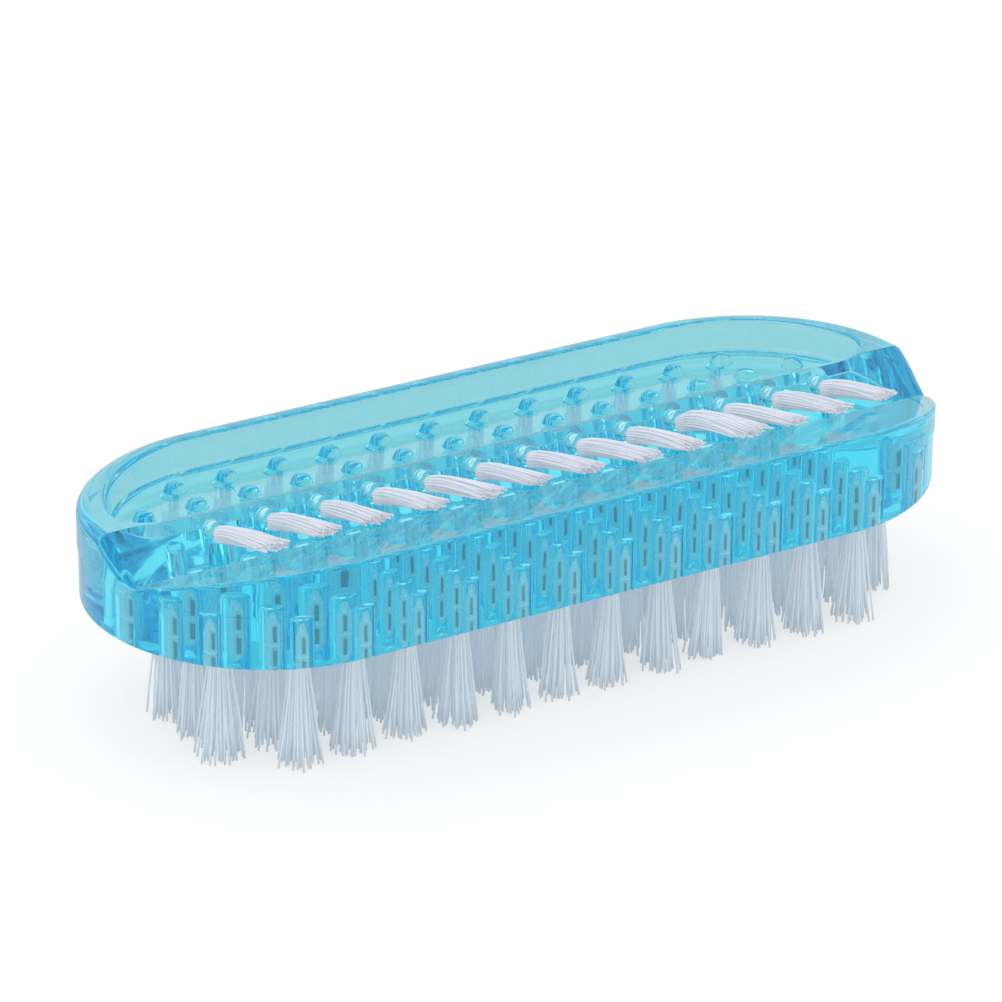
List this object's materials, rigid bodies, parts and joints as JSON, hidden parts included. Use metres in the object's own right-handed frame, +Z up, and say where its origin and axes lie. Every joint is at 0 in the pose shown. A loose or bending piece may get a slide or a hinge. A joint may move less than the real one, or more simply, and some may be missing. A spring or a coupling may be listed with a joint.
{
  "type": "nail brush",
  "caption": "Double-sided nail brush: clear moulded body with a bristle field below and a slanted row of tufts above, for scrubbing hands and cleaning under nails.",
  "frame": {"origin": "under the middle of the body, in the plane of the bottom tufts' tips", "axes": "+X along the body, +Z up from the bottom tufts to the thumb dish, -Y towards the slanted row's tips"},
  "size_m": [0.0904, 0.0364, 0.0242],
  "materials": {
    "body": "clear cyan-blue moulded polystyrene, polished",
    "bristle": "pale lavender-white nylon filament",
    "anchor": "plain flat wire"
  },
  "bodies": {
    "root": {"body": "body", "bottom_tufts_row_01": "bristle", "bottom_tufts_row_02": "bristle", "bottom_tufts_row_03": "bristle", "bottom_tufts_row_04": "bristle", "bottom_tufts_row_05": "bristle", "bottom_tufts_row_06": "bristle", "bottom_anchors_row_01": "anchor", "bottom_anchors_row_02": "anchor", "bottom_anchors_row_03": "anchor", "bottom_anchors_row_04": "anchor", "bottom_anchors_row_05": "anchor", "bottom_anchors_row_06": "anchor", "top_tuft_01": "bristle", "top_tuft_02": "bristle", "top_tuft_03": "bristle", "top_tuft_04": "bristle", "top_tuft_05": "bristle", "top_tuft_06": "bristle", "top_tuft_07": "bristle", "top_tuft_08": "bristle", "top_tuft_09": "bristle", "top_tuft_10": "bristle", "top_tuft_11": "bristle", "top_tuft_12": "bristle", "top_tuft_13": "bristle", "top_anchors": "anchor"}
  },
  "joints": []
}
